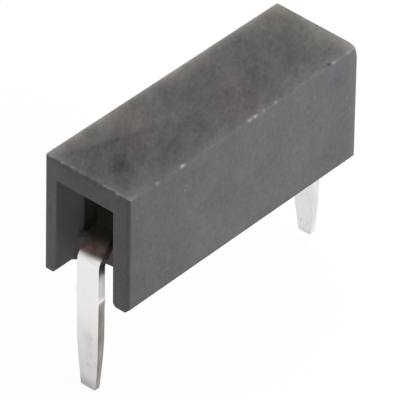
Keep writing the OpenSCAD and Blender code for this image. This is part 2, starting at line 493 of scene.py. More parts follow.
@dataclass(frozen=True)
class TinPlate:
    """Bright tin: faint rolling lines, scuffs, dull tips in painted shade, painted reflection on the ramp.
    """

    bright: Colour = (0.87, 0.86, 0.855)
    dull: Colour = (0.56, 0.535, 0.505)
    # Painted reflection colours: the brown of the ramp.
    brown_reflection: Colour = (0.155, 0.104, 0.090)
    dark_brown_reflection: Colour = (0.108, 0.067, 0.060)
    # Painted shade colours: near black in the cavity, and a warm olive for the deepest parts.
    gloom: Colour = (0.014, 0.0135, 0.0105)
    deep: Colour = (0.113, 0.106, 0.079)
    rolled: Grain = Grain(1.0)
    rolled_stretch: Triple = (18.0, 0.8, 0.8)
    clouds: Grain = Grain(2.6)
    cloud_dullness: float = 0.12
    scuffs: Grain = Grain(1.6, 4.0, 0.7, 0.8)
    scuff_stretch: Triple = (5.0, 5.0, 2.2)
    scuff_span: Span = (0.58, 0.72)
    blotches: Grain = Grain(4.5, 2.0)
    blotch_span: Span = (0.40, 0.60)
    relief_strength: float = 0.1
    relief_mm: float = 0.002
    roughness: float = 0.16
    rolled_roughness: float = 0.1
    dull_roughness: float = 0.25
    brown_roughness: float = 0.3
    specular_level: float = 0.06

    def build(self) -> bpy.types.Material:
        """Make the material.

        Returns:
            The finished material, which reads the attributes that StripContact paints.
        """
        graph = ShaderGraph("tin_plate")
        place = graph.millimetres()
        lines = graph.noise(graph.stretched(place, self.rolled_stretch), self.rolled)
        clouds = graph.noise(place, self.clouds)
        scuffs = graph.noise(graph.stretched(place, self.scuff_stretch), self.scuffs)
        wear = graph.grade(scuffs, *self.scuff_span)
        dullness = graph.math("MULTIPLY", wear, graph.attribute("handled"))
        # Painted shade: the dulling attribute also darkens the tin low on the tails and at the tips.
        dullness = graph.math("ADD", graph.attribute("dull_and_shade"), dullness, clamp=True)
        dullness = graph.math("MULTIPLY_ADD", clouds, self.cloud_dullness, dullness)
        brown_reflection = graph.attribute("brown_reflection")
        blotches = graph.grade(graph.noise(place, self.blotches), *self.blotch_span)
        colour = graph.mix(dullness, self.bright, self.dull)
        # Painted reflection: above the lower bend the ramp is painted brown, for the dark roof it mirrors.
        colour = graph.mix(brown_reflection, colour, graph.mix(blotches, self.brown_reflection, self.dark_brown_reflection))
        # Painted shade: in the cavity the tin is painted near black, and its deepest parts a warm olive.
        colour = graph.mix(graph.attribute("gloom"), colour, self.gloom)
        colour = graph.mix(graph.attribute("deep"), colour, self.deep)
        roughness = graph.math("MULTIPLY_ADD", lines, self.rolled_roughness, self.roughness)
        roughness = graph.math("MULTIPLY_ADD", dullness, self.dull_roughness, roughness)
        roughness = graph.math("MULTIPLY_ADD", brown_reflection, self.brown_roughness, roughness)
        shader = graph.add("ShaderNodeBsdfPrincipled", {
            "Base Color": colour,
            "Metallic": graph.math("SUBTRACT", 1.0, brown_reflection),
            "Roughness": roughness,
            "Specular IOR Level": self.specular_level,
            "Normal": graph.bump(lines, self.relief_strength, self.relief_mm),
        })
        return graph.surface(shader.outputs["BSDF"])


@dataclass(frozen=True)
class ShearedEdge:
    """Cut edge of the strip: plating dragged over a warmer alloy, rougher across the shear."""

    bright: Colour = (0.84, 0.83, 0.815)
    alloy: Colour = (0.24, 0.208, 0.178)
    # Painted reflection colour above the lower bend.
    brown_reflection: Colour = (0.125, 0.075, 0.064)
    # Painted shade colour in the cavity.
    gloom: Colour = (0.010, 0.0085, 0.0068)
    streaks: Grain = Grain(1.0, 4.0, 0.6)
    streak_stretch: Triple = (4.0, 3.0, 14.0)
    bands: Grain = Grain(1.2)
    band_stretch: Triple = (6.0, 6.0, 1.0)
    band_swing: float = 0.9
    relief_strength: float = 0.2
    relief_mm: float = 0.004
    roughness: float = 0.16
    streak_roughness: float = 0.16
    brown_roughness: float = 0.3
    specular_level: float = 0.06

    def build(self) -> bpy.types.Material:
        """Make the material.

        Returns:
            The finished material, which reads the attributes that StripContact paints.
        """
        graph = ShaderGraph("sheared_edge")
        place = graph.millimetres()
        streaks = graph.noise(graph.stretched(place, self.streak_stretch), self.streaks)
        bands = graph.noise(graph.stretched(place, self.band_stretch), self.bands)
        # Painted shade and highlight ride on the alloy share: darker low on the front tail, bright at the
        # nib.
        patches = graph.swing(bands, self.band_swing, graph.attribute("alloy_and_shade"))
        brown_reflection = graph.attribute("brown_reflection")
        colour = graph.mix(graph.math("MAXIMUM", patches, 0.0, clamp=True), self.bright, self.alloy)
        # Painted reflection: the cut edges above the lower bend are painted brown like the ramp.
        colour = graph.mix(brown_reflection, colour, self.brown_reflection)
        # Painted shade: the cut edges in the cavity are painted near black.
        colour = graph.mix(graph.attribute("gloom"), colour, self.gloom)
        roughness = graph.math("MULTIPLY_ADD", streaks, self.streak_roughness, self.roughness)
        roughness = graph.math("MULTIPLY_ADD", brown_reflection, self.brown_roughness, roughness)
        shader = graph.add("ShaderNodeBsdfPrincipled", {
            "Base Color": colour,
            "Metallic": graph.math("SUBTRACT", 1.0, brown_reflection),
            "Roughness": roughness,
            "Specular IOR Level": self.specular_level,
            "Normal": graph.bump(streaks, self.relief_strength, self.relief_mm),
        })
        return graph.surface(shader.outputs["BSDF"])


@dataclass(frozen=True)
class PaleFloor:
    """White floor that takes a soft shadow and shows as the white background."""

    colour: Colour = (0.9, 0.9, 0.9)
    backdrop_share: float = 0.94
    mirrored_share: float = 0.35

    def build(self) -> bpy.types.Material:
        """Make the material.

        Returns:
            The finished material.
        """
        graph = ShaderGraph("pale_floor")
        rays = graph.add("ShaderNodeLightPath").outputs
        mirrored = graph.math("MAXIMUM", rays["Is Glossy Ray"], rays["Is Transmission Ray"])
        mirrored = graph.math("MULTIPLY", mirrored, self.mirrored_share)
        seen = graph.math("MULTIPLY", rays["Is Camera Ray"], self.backdrop_share)
        share = graph.math("MAXIMUM", seen, mirrored)
        matt = graph.add("ShaderNodeBsdfDiffuse", {"Color": (*self.colour, 1.0)})
        white = graph.add("ShaderNodeEmission", {"Color": (1.0, 1.0, 1.0, 1.0), "Strength": 1.0})
        mixed = graph.add("ShaderNodeMixShader", {0: share, 1: matt.outputs[0], 2: white.outputs[0]})
        return graph.surface(mixed.outputs[0])


@dataclass(frozen=True)
class Fade:
    """A mark that fades out: its strength at the start and the distance it fades over, in millimetres."""

    strength: float
    reach: float

    def at(self, distance: float) -> float:
        """Strength at a distance from the start."""
        return self.strength * math.exp(-distance / self.reach)


@dataclass(frozen=True)
class Band:
    """A mark with soft sides: its strength, the place of its middle and its half width, in millimetres."""

    strength: float
    middle: float
    half_w: float

    def at(self, place: float) -> float:
        """Strength at a place across the band."""
        return self.strength * math.exp(-((place - self.middle) / self.half_w) ** 2)


@dataclass(frozen=True)
class Sway:
    """A smooth random sway about 0: its strength and its cells in a millimetre."""

    strength: float
    scale: float

    def at(self, place: Vector) -> float:
        """The sway at a place."""
        return self.strength * noise.noise(place * self.scale)


@dataclass(frozen=True)
class Spot:
    """A point of the housing and its distances from the outer faces, in millimetres."""

    place: Vector
    left: float
    right: float
    front: float
    rear: float
    top: float


@dataclass(frozen=True)
class RoofTones:
    """Tones of the roof as factors of its plain colour; places and distances are millimetres.

    The rims are paler, partly their own tone and partly painted highlight along the rounded edges. A line
    slants to the rear from the front left corner with a paler wedge to its left, there is a smudge by the
    gate mark, and a pit in the right edge is painted dark as the shade in its hollow. rise is the gain of
    tone in a millimetre towards the rear.
    """

    plain: float = 0.58
    rise: float = 0.03
    wobbles: tuple[Sway, ...] = (Sway(0.35, 1.9), Sway(0.2, 6.0))
    left_rim: Fade = Fade(2.2, 0.10)
    left_glow: Fade = Fade(0.65, 0.5)
    rear_rim: Fade = Fade(1.9, 0.3)
    right_glow: Fade = Fade(0.60, 0.4)
    right_line: Fade = Fade(0.1, 0.05)
    front_rim: Fade = Fade(0.40, 0.1)
    corner_along: Fade = Fade(0.65, 0.3)
    corner_across: Fade = Fade(1.0, 0.4)
    patch_along: Band = Band(0.2, 0.75, 0.45)
    patch_across: Band = Band(1.0, 0.2, 0.35)
    slant_start_x: float = -1.03
    slant_setback: float = 0.21
    slant_slope: float = 0.36
    slant_near: Span = (0.0, 0.4)
    slant_far: Span = (2.2, 3.0)
    slant_line: Band = Band(0.26, 0.06, 0.09)
    wedge: float = 0.16
    wedge_edge: Span = (-0.05, 0.1)
    smudge_x: float = 0.22
    smudge_setback: float = 0.87
    smudge_half_l: float = 0.36
    smudge_half_w: float = 0.25
    smudge_sway: Sway = Sway(0.15, 7.0)
    trail: float = 0.3
    trail_shift: float = 0.45
    trail_half_l: float = 0.5
    trail_half_w: float = 0.28
    pit_inset: float = 0.05
    pit_setback: float = 7.06
    pit_r: float = 0.06
    left_tint: Fade = Fade(1.0, 0.3)
    rear_tint: Fade = Fade(1.0, 0.5)
    right_wear: Fade = Fade(0.45, 0.16)

    def own_share(self, spot: Spot) -> float:
        """How much of the roof's own colour a point has, less near the worn right edge."""
        return 1.0 - self.right_wear.at(spot.right)

    def rim_share(self, spot: Spot) -> float:
        """How much a point takes the warm tint of the left and rear rims."""
        return min(1.0, self.left_tint.at(spot.left) + self.rear_tint.at(spot.rear))

    def tone(self, spot: Spot) -> float:
        """Tone of a point of the roof.

        Args:
            spot: The point.

        Returns:
            The factor of the plain colour.
        """
        left = self.left_rim.at(spot.left) + self.left_glow.at(spot.left)
        right = self.right_glow.at(spot.right) - self.right_line.at(spot.right)
        # Painted highlight: the paler rims stand partly for the light that the rounded edges catch.
        rims = math.hypot(left, self.rear_rim.at(spot.rear)) + right + self.front_rim.at(spot.front)
        wobble = 1.0 + sum(sway.at(spot.place) for sway in self.wobbles)
        worn = self.corner_along.at(spot.front) * self.corner_across.at(spot.right)
        worn += self.patch_along.at(spot.rear) * self.patch_across.at(spot.right)
        tone = self.plain + self.rise * spot.front + rims * wobble + worn + self._slant(spot)
        # Painted shade: the pit darkens to black as the shade in its hollow.
        pit = math.hypot(spot.right - self.pit_inset, spot.front - self.pit_setback) / self.pit_r
        return tone * (1.0 - math.exp(-pit ** 2)) * (1.0 - self._smudge(spot))

    def _slant(self, spot: Spot) -> float:
        """What the wedge adds to the tone and the slanting line takes from it.

        Args:
            spot: A point of the roof.

        Returns:
            The change of tone.
        """
        beside = spot.place.x - self.slant_start_x - self.slant_slope * (spot.front - self.slant_setback)
        along = smoothstep(*self.slant_near, spot.front) * (1.0 - smoothstep(*self.slant_far, spot.front))
        wedge = self.wedge * (1.0 - smoothstep(*self.wedge_edge, beside))
        return along * (wedge - self.slant_line.at(beside))

    def _smudge(self, spot: Spot) -> float:
        """How much the smudge and its trail darken a point.

        Args:
            spot: A point of the roof.

        Returns:
            Share of the light that is lost.
        """
        across, along = spot.place.x - self.smudge_x, spot.front - self.smudge_setback
        diagonal = math.sqrt(0.5)
        long_way, short_way = (along - across) * diagonal, (along + across) * diagonal
        reach = math.hypot(long_way / self.smudge_half_l, short_way / self.smudge_half_w)
        reach += self.smudge_sway.at(spot.place)
        trail = math.hypot((long_way + self.trail_shift) / self.trail_half_l, short_way / self.trail_half_w)
        return max(math.exp(-reach ** 2), self.trail * math.exp(-trail ** 2))


@dataclass(frozen=True)
class SideTones:
    """Tones of the outer sides: darker towards the front, paler at the rear end and under the roof."""

    plain: float = 1.09
    front_shade: Fade = Fade(0.22, 2.0)
    rear_rim: Fade = Fade(0.5, 0.12)
    top_rim: Fade = Fade(0.06, 0.12)

    def tone(self, spot: Spot) -> float:
        """Tone of a point of the sides."""
        rims = self.rear_rim.at(spot.rear) + self.top_rim.at(spot.top)
        return self.plain - self.front_shade.at(spot.front) + rims


@dataclass(frozen=True)
class FrontTones:
    """Tones of the front end: painted light on the left leg, painted shade under the roof and at the right
    edge.
    """

    plain: float = 0.85
    left_leg_light: float = 0.23
    left_leg_edge: Span = (0.3, 0.5)
    top_crease_shade: Band = Band(0.2, 0.09, 0.06)
    right_edge_shade: Band = Band(0.2, 0.08, 0.06)
    right_shade_loss: float = 0.5
    right_shade_span: Span = (0.5, 2.5)

    def tone(self, spot: Spot) -> float:
        """Tone of a point of the front end."""
        # Painted light on the left leg and painted shade in the creases under the roof and along the right
        # edge.
        left_leg_light = self.left_leg_light * (1.0 - smoothstep(*self.left_leg_edge, spot.left))
        kept = 1.0 - self.right_shade_loss * smoothstep(*self.right_shade_span, spot.top)
        return self.plain + left_leg_light - self.top_crease_shade.at(spot.top) - self.right_edge_shade.at(spot.right) * kept


@dataclass(frozen=True)
class BayTones:
    """Painted light and shade in the arch: the notch darker, the floor and the walls up and inwards lighter.
    """

    notch: float = 0.8
    floor: float = 3.6
    foot: float = 0.7
    rise: float = 0.85
    mouth: float = 1.05
    inward: float = 1.3

    def wall(self, height: float, depth: float) -> float:
        """Tone of a wall, by the shares of the way up to the roof and of the way in."""
        # Painted light: raised towards the roof and inwards, where less light falls.
        return (self.foot + self.rise * height) * (self.mouth + self.inward * smoothstep(0.0, 1.0, depth))


@dataclass(frozen=True)
class Nick:
    """A scuffed nick in the long right edge of the roof, in millimetres."""

    setback: float
    length: float
    bite: float


@dataclass
class Housing:
    """The moulded housing: a block with an arch at the front and a cavity open to the rear.

    Sizes are millimetres; low and high are the corners of the CAD node. The last fields are its wear and
    painted light: the spans that marks fade over, the depths of the dents and the tones of the faces, which
    hold painted highlight, light and shade.
    """

    low: Vector
    high: Vector
    roof_t: float = 0.61
    side_t: float = 0.29
    side_draft: float = 0.065
    floor_t: float = 0.67
    edge_r: float = 0.02
    corner_r: float = 0.05
    foot_cut: float = 0.14
    inner_edge_r: float = 0.012
    bay_l: float = 0.99
    arch_left_t: float = 0.355
    arch_right_t: float = 0.54
    arch_draft: float = 0.02
    leg_cut: float = 0.08
    notch_l: float = 1.09
    notch_r: float = 1.26
    notch_sides: int = 96
    rail_w: float = 0.6
    rail_h: float = 0.58
    gate_x: float = 0.17
    gate_setback: float = 0.9
    gate_d: float = 0.3
    gate_depth: float = 0.03
    cut: float = 0.3
    corner_steps: int = 6
    edge_steps: int = 3
    inner_edge_steps: int = 2
    flat_degrees: float = 1.0
    sharp_degrees: float = 40.0
    smooth_degrees: float = 35.0
    slice_pitch: float = 0.06
    edge_slices: tuple[float, ...] = (0.02, 0.03, 0.045, 0.07, 0.11, 0.17)
    inner_slice: float = 0.24
    inner_pitch: float = 0.1
    skin: float = 0.02
    bay_play: float = 0.06
    notch_play: float = 0.03
    # Spans over which the cavity's painted shade sets in behind the bay and fades out towards the rear end.
    dark_front: float = 0.06
    dark_rear: Span = (0.3, 0.6)
    sink_depth: float = 0.015
    sink_span: Span = (0.1, 0.8)
    ripple: Sway = Sway(0.004, 2.3)
    ripple_drop: float = 0.0024
    ripple_span: Span = (0.05, 0.3)
    rub_w: float = 0.08
    front_rub: float = 0.75
    right_rub: float = 0.1
    knock_reach: float = 0.3
    knock_depth: float = 0.055
    nick_ends: Span = (0.35, 1.0)
    nick_reach: Span = (0.02, 0.08)
    nick_bite: float = 0.7
    nick_sway: Sway = Sway(0.6, 14.0)
    scuff_gain: float = 20.0
    roof_tones: RoofTones = RoofTones()
    side_tones: SideTones = SideTones()
    front_tones: FrontTones = FrontTones()
    bay_tones: BayTones = BayTones()
    nicks: tuple[Nick, ...] = (
        Nick(0.94, 0.12, 0.02),
        Nick(1.84, 0.22, 0.04),
        Nick(4.21, 0.18, 0.03),
        Nick(4.40, 0.16, 0.045),
        Nick(4.70, 0.10, 0.02),
        Nick(5.12, 0.14, 0.025),
        Nick(7.22, 0.16, 0.026),
        Nick(7.74, 0.12, 0.018),
    )

    @property
    def roof_z(self) -> float:
        """Height of the roof's underside."""
        return self.high.z - self.roof_t

    @property
    def cavity_x(self) -> float:
        """Half the width of the cavity."""
        return self.high.x - self.side_t

    def build(self) -> bpy.types.Object:
        """Model the housing.

        Returns:
            The finished object.
        """
        shell = self._block()
        cutters = [self._arch_cutter(), self._notch_cutter(), self._cavity_cutter(), self._rear_bay_cutter()]
        self._combine(shell, cutters, Keep.REST)
        bm = bmesh.new()
        bm.from_mesh(shell.data)
        self._break_edges(bm)
        self._slice(bm)
        self._weather(bm)
        bm.to_mesh(shell.data)
        bm.free()
        shade_smooth_by_angle(shell, self.smooth_degrees)
        to_metres(shell)
        return shell

    def _block(self) -> bpy.types.Object:
        """Outer block with a cut lower right edge, round upright edges and fine edges on the roof.

        Returns:
            The block.
        """
        bm = bmesh.new()
        bmesh.ops.create_cube(bm, size=1.0)
        bmesh.ops.scale(bm, vec=self.high - self.low, verts=bm.verts)
        bmesh.ops.translate(bm, vec=(self.high + self.low) / 2, verts=bm.verts)
        low_right = [e for e in bm.edges if all(v.co.x > 0.0 and v.co.z < self.floor_t for v in e.verts)]
        bmesh.ops.bevel(bm, geom=low_right, offset=self.foot_cut, offset_type="OFFSET", segments=1,
                        profile=0.5, affect="EDGES", material=-1)
        upright = [e for e in bm.edges if abs(e.verts[0].co.z - e.verts[1].co.z) > self.floor_t]
        bmesh.ops.bevel(bm, geom=upright, offset=self.corner_r, offset_type="OFFSET",
                        segments=self.corner_steps, profile=0.5, affect="EDGES", material=-1)
        roof = [e for e in bm.edges if min(v.co.z for v in e.verts) > self.high.z - self.edge_r]
        bmesh.ops.bevel(bm, geom=roof, offset=self.edge_r, offset_type="OFFSET",
                        segments=self.edge_steps, profile=0.5, affect="EDGES", material=-1)
        return object_from(bm, "housing_shell")

    def _prism(self, name: str, outline: Sequence[Point], start_y: float, end_y: float) -> bpy.types.Object:
        """Solid with one outline from front to rear, used as a cutter.

        Args:
            name: Name of the object.
            outline: Corners of the outline as (x, z).
            start_y: Place of its front end.
            end_y: Place of its rear end.

        Returns:
            The prism.
        """
        bm = bmesh.new()
        face = bm.faces.new([bm.verts.new((x, start_y, z)) for x, z in outline])
        grown = bmesh.ops.extrude_face_region(bm, geom=[face])["geom"]
        moved = [g for g in grown if isinstance(g, bmesh.types.BMVert)]
        bmesh.ops.translate(bm, vec=(0.0, end_y - start_y, 0.0), verts=moved)
        bmesh.ops.recalc_face_normals(bm, faces=bm.faces)
        return object_from(bm, name)

    def _arch_outline(self) -> list[Point]:
        """Outline of the space between the legs of the arch, below the roof, as (x, z)."""
        left, right = self.low.x + self.arch_left_t, self.high.x - self.arch_right_t
        left_foot, right_foot = left - self.arch_draft, right + self.arch_draft
        splay = self.leg_cut + self.cut
        return [
            (left_foot - splay, -self.cut),
            (right_foot + splay, -self.cut),
            (right_foot, self.leg_cut),
            (right, self.roof_z),
            (left, self.roof_z),
            (left_foot, self.leg_cut),
        ]

    def _arch_cutter(self) -> bpy.types.Object:
        """Space of the front arch above the floor, flat at the back."""
        back_y = self.low.y + self.bay_l + self.inner_edge_r
        arch = self._prism("arch_cutter", self._arch_outline(), self.low.y - self.cut, back_y)
        side = self.high.x
        upper = [(-side, self.floor_t), (side, self.floor_t), (side, self.high.z), (-side, self.high.z)]
        keep = self._prism("above_floor", upper, self.low.y - 2 * self.cut, self.low.y + 2 * self.bay_l)
        self._combine(arch, [keep], Keep.SHARED)
        return arch

    def _notch_cutter(self) -> bpy.types.Object:
        """Round notch through the floor between the legs."""
        outline = self._arch_outline()
        back_y = self.low.y + self.notch_l
        arch = self._prism("notch_cutter", outline, self.low.y - self.cut, back_y + self.cut)
        height = 2.0 * (self.floor_t + self.rail_h + self.inner_edge_r)
        bm = bmesh.new()
        bmesh.ops.create_cone(bm, cap_ends=True, segments=self.notch_sides, radius1=self.notch_r,
                              radius2=self.notch_r, depth=height)
        middle = (outline[3][0] + outline[4][0]) / 2
        bmesh.ops.translate(bm, vec=(middle, back_y - self.notch_r, 0.0), verts=bm.verts)
        self._combine(arch, [object_from(bm, "notch_round")], Keep.SHARED)
        return arch

    def _cavity_cutter(self) -> bpy.types.Object:
        """Space of the contact, with the rail left standing on the floor."""
        side, rail, top = self.cavity_x, self.rail_w / 2, self.floor_t + self.rail_h
        outline = [
            (-side, self.floor_t),
            (-rail, self.floor_t),
            (-rail, top),
            (rail, top),
            (rail, self.floor_t),
            (side, self.floor_t),
            (side, self.roof_z),
            (-side, self.roof_z),
        ]
        return self._prism("cavity_cutter", outline, self.low.y + self.bay_l, self.high.y + self.cut)

    def _rear_bay_cutter(self) -> bpy.types.Object:
        """Space of the rear tail, open to the rear and to the board."""
        side, foot = self.cavity_x, self.low.z - self.cut
        outline = [(-side, foot), (side, foot), (side, self.roof_z), (-side, self.roof_z)]
        return self._prism("rear_bay_cutter", outline, self.high.y - self.bay_l, self.high.y + self.cut)

    @staticmethod
    def _combine(solid: bpy.types.Object, others: list[bpy.types.Object], keep: Keep) -> None:
        """Cut a solid by others, or keep what it shares with them.

        Args:
            solid: The solid, which is changed.
            others: The other solids, which are removed afterwards.
            keep: What stays of the solid.
        """
        for other in others:
            step = solid.modifiers.new(other.name, "BOOLEAN")
            step.operation = keep.value
            step.solver = "EXACT"
            step.object = other
        apply_modifiers(solid)
        discard(others)

    def _break_edges(self, bm: bmesh.types.BMesh) -> None:
        """Round the sharp edges of the arch, the cavity and the underside a little.

        Args:
            bm: Mesh of the carved block.
        """
        flat_angle, sharp_angle = math.radians(self.flat_degrees), math.radians(self.sharp_degrees)
        bmesh.ops.remove_doubles(bm, verts=bm.verts, dist=SAME_PLACE)
        bmesh.ops.dissolve_limit(bm, angle_limit=flat_angle, verts=bm.verts, edges=bm.edges)
        sharp = [e for e in bm.edges if e.is_manifold and e.calc_face_angle() > sharp_angle]
        bmesh.ops.bevel(bm, geom=sharp, offset=self.inner_edge_r, offset_type="OFFSET",
                        segments=self.inner_edge_steps, profile=0.5, affect="EDGES", clamp_overlap=True,
                        material=-1)

    def _cuts_along(self, axis: Axis) -> list[float]:
        """Places of the slices along one axis, closer together near the outer edges.

        Args:
            axis: The axis that the slices cross.

        Returns:
            The places, in order.
        """
        low, high = self.low[axis.value], self.high[axis.value]
        if axis is Axis.Y:
            count = int((high - low) / self.slice_pitch)
            return [low + (high - low) * i / count for i in range(1, count)]
        count = int((high - low - 2.0 * self.inner_slice) / self.inner_pitch) + 1
        inner = [self.inner_slice + self.inner_pitch * i for i in range(count)]
        return sorted([low + d for d in [*self.edge_slices, *inner]] + [high - d for d in self.edge_slices])

    def _slice(self, bm: bmesh.types.BMesh) -> None:
        """Divide the faces finely enough to carry sinks, nicks, painted wear and painted shade.

        Args:
            bm: Mesh of the housing.
        """
        for axis in Axis:
            normal = axis.unit()
            for place in self._cuts_along(axis):
                geom = [*bm.verts, *bm.edges, *bm.faces]
                bmesh.ops.bisect_plane(bm, geom=geom, dist=SAME_CUT, plane_co=normal * place,
                                       plane_no=normal)

    def _weather(self, bm: bmesh.types.BMesh) -> None:
        """Paint the marks that the finish reads, then wear the faces and lean the sides in.

        Args:
            bm: Sliced mesh of the housing.
        """
        painters = {
            "roof": self._roof,
            "front": self._front,
            "rim": self._rim,
            "tone": self._tone,
            "rub": self._rub,
            "scuff": self._scuff,
            "inside": self._cavity_shade,
        }
        layers = {name: bm.verts.layers.float.new(name) for name in painters}
        for vert in bm.verts:
            spot = self._spot(vert.co.copy())
            for name, painter in painters.items():
                vert[layers[name]] = painter(spot)
            vert.co = self._drafted(self._worn(spot))

    def _spot(self, place: Vector) -> Spot:
        """A point of the housing with its distances from the outer faces.

        Args:
            place: The point.

        Returns:
            The point with its distances.
        """
        return Spot(
            place=place,
            left=place.x - self.low.x,
            right=self.high.x - place.x,
            front=place.y - self.low.y,
            rear=self.high.y - place.y,
            top=self.high.z - place.z,
        )

    def _on_roof(self, spot: Spot) -> bool:
        """Whether a point lies on top of the roof."""
        return spot.top < self.edge_r / 2

    def _on_front(self, spot: Spot) -> bool:
        """Whether a point lies on the front end or between its legs."""
        return spot.front < self.edge_r / 2 or self._in_bay(spot)

    def _in_bay(self, spot: Spot) -> bool:
        """Whether a point lies on the walls between the legs of the arch or on the notch."""
        past_left = spot.left > self.arch_left_t - self.bay_play
        past_right = spot.right > self.arch_right_t - self.bay_play
        inside = self.skin < spot.front < self.notch_l + self.notch_play
        return past_left and past_right and inside and spot.place.z < self.roof_z + self.skin

    def _roof(self, spot: Spot) -> float:
        """Share of the roof's own colour at a point."""
        return self.roof_tones.own_share(spot) if self._on_roof(spot) else 0.0

    def _front(self, spot: Spot) -> float:
        """Share of the front end's colour at a point, 1 or 0."""
        return 1.0 if self._on_front(spot) else 0.0

    def _rim(self, spot: Spot) -> float:
        """Share of the rims' colour at a point."""
        return self.roof_tones.rim_share(spot) if self._on_roof(spot) else 0.0

    def _cavity_shade(self, spot: Spot) -> float:
        """How deep a point lies in the dark of the cavity.

        Args:
            spot: A point of the housing.

        Returns:
            Share of the cavity's painted shade colour.
        """
        if abs(spot.place.x) > self.cavity_x + self.skin:
            return 0.0
        if not self.floor_t - self.skin < spot.place.z < self.roof_z + self.skin:
            return 0.0
        from_front = smoothstep(self.bay_l, self.bay_l + self.dark_front, spot.front)
        from_rear = smoothstep(self.dark_rear[0], self.bay_l + self.dark_rear[1], spot.rear)
        return from_front * from_rear

    def _tone(self, spot: Spot) -> float:
        """How light a point is.

        Args:
            spot: A point of the housing.

        Returns:
            The factor of its plain colour.
        """
        if self._on_roof(spot):
            return self.roof_tones.tone(spot)
        if self._in_bay(spot):
            return self._bay_tone(spot)
        if self._on_front(spot):
            return self.front_tones.tone(spot)
        return self.side_tones.tone(spot)

    def _bay_tone(self, spot: Spot) -> float:
        """Painted shade on the notch, painted light on the floor behind it or on a wall between the legs.

        Args:
            spot: A point of the bay.

        Returns:
            The factor, below 1 on the round notch and mostly above 1 elsewhere.
        """
        middle = (self.arch_left_t - self.arch_right_t) / 2
        from_axis = math.hypot(spot.place.x - middle, spot.front - self.notch_l + self.notch_r)
        if abs(from_axis - self.notch_r) < self.notch_play and spot.place.z < self.floor_t - SAME_PLACE:
            return self.bay_tones.notch
        if abs(spot.place.z - self.floor_t) < self.skin:
            return self.bay_tones.floor
        return self.bay_tones.wall(spot.place.z / self.roof_z, spot.front / self.notch_l)

    def _nick_at(self, spot: Spot) -> float:
        """How deep the nicks bite at a point.

        Args:
            spot: A point of the housing.

        Returns:
            Depth of the bite.
        """
        near_edge = 1.0 - smoothstep(*self.nick_reach, math.hypot(spot.right, spot.top))
        bite = 0.0
        for nick in self.nicks:
            along = abs(spot.front - nick.setback) / (nick.length / 2)
            bite = max(bite, nick.bite * (1.0 - smoothstep(*self.nick_ends, along)) * near_edge)
        return bite

    def _rub(self, spot: Spot) -> float:
        """How rubbed a point is along the front and right edges of the roof.

        Args:
            spot: A point of the housing.

        Returns:
            Strength of the rubbing.
        """
        on_front = 1.0 - smoothstep(0.0, self.rub_w, math.hypot(spot.front, spot.top))
        on_right = 1.0 - smoothstep(0.0, self.rub_w, math.hypot(spot.right, spot.top))
        return max(self.front_rub * on_front, self.right_rub * on_right)

    def _scuff(self, spot: Spot) -> float:
        """Share of the scuff colour that the nicks leave at a point."""
        return min(1.0, self._nick_at(spot) * self.scuff_gain)

    def _worn(self, spot: Spot) -> Vector:
        """Place of a point after sinking, rippling, nicking and a knock on the rear right corner.

        Args:
            spot: A point of the new housing.

        Returns:
            The same point on the worn housing.
        """
        side, end = min(spot.left, spot.right), min(spot.front, spot.rear)
        nearest, second, _ = sorted([side, end, spot.top])
        if nearest > self.edge_r:
            return spot.place
        moved = spot.place.copy()
        if spot.top < SAME_PLACE:
            gate = Vector((spot.place.x - self.gate_x, spot.front - self.gate_setback))
            dimple = max(0.0, 1.0 - (2.0 * gate.length / self.gate_d) ** 2)
            moved.z -= self.sink_depth * smoothstep(*self.sink_span, second) + self.gate_depth * dimple
            ripple = self.ripple.at(spot.place) - self.ripple_drop
            moved.z += ripple * smoothstep(*self.ripple_span, second)
        bite = self._nick_at(spot)
        if bite:
            inward = Vector((-1.0, 0.0, -1.0)).normalized()
            moved += inward * bite * (self.nick_bite + self.nick_sway.at(spot.place))
        from_corner = (self.high - spot.place).length
        knock = self.knock_depth * (1.0 - smoothstep(0.0, self.knock_reach, from_corner))
        return moved - Vector((1.0, 1.0, 1.0)).normalized() * knock

    def _drafted(self, place: Vector) -> Vector:
        """Place of a point once the outer sides lean in towards the rear.

        Args:
            place: A point of the straight housing.

        Returns:
            The same point on the drafted housing, moved only if it lies outside the cavity.
        """
        outside = max(0.0, abs(place.x) - self.cavity_x) / self.side_t
        along = (place.y - self.low.y) / (self.high.y - self.low.y)
        lean = math.copysign(self.side_draft * along * outside, place.x)
        return place - Vector((lean, 0.0, 0.0))

    def dress(self, shell: bpy.types.Object, finish: MouldedPlastic) -> None:
        """Give the housing its finish and let it stand for the CAD node.

        Args:
            shell: The finished object.
            finish: Its finish.
        """
        shell.data.materials.clear()
        shell.data.materials.append(finish.build())
        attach(shell, BODY)
        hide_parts("housing")


@dataclass(frozen=True)
class Station:
    """One cross line of the strip: its place in side view and its half width."""

    y: float
    z: float
    half_w: float


@dataclass(frozen=True)
class Tail:
    """Sizes of a tail in millimetres: its length below the board, its tapered end and how its tip lies.

    lean is how far the tip stands to the right and to the rear, as handling left it.
    """

    length: float
    taper_l: float
    tip_w: float
    lean: Point


@dataclass(frozen=True)
class Scuff:
    """A dull scuff on the front tail: its place across and below the board, and its reach."""

    x: float
    drop: float
    half_w: float
    half_h: float

    def at(self, place: Vector) -> float:
        """Strength of the scuff at a point."""
        across, down = (place.x - self.x) / self.half_w, (place.z + self.drop) / self.half_h
        return math.exp(-across ** 2 - down ** 2)


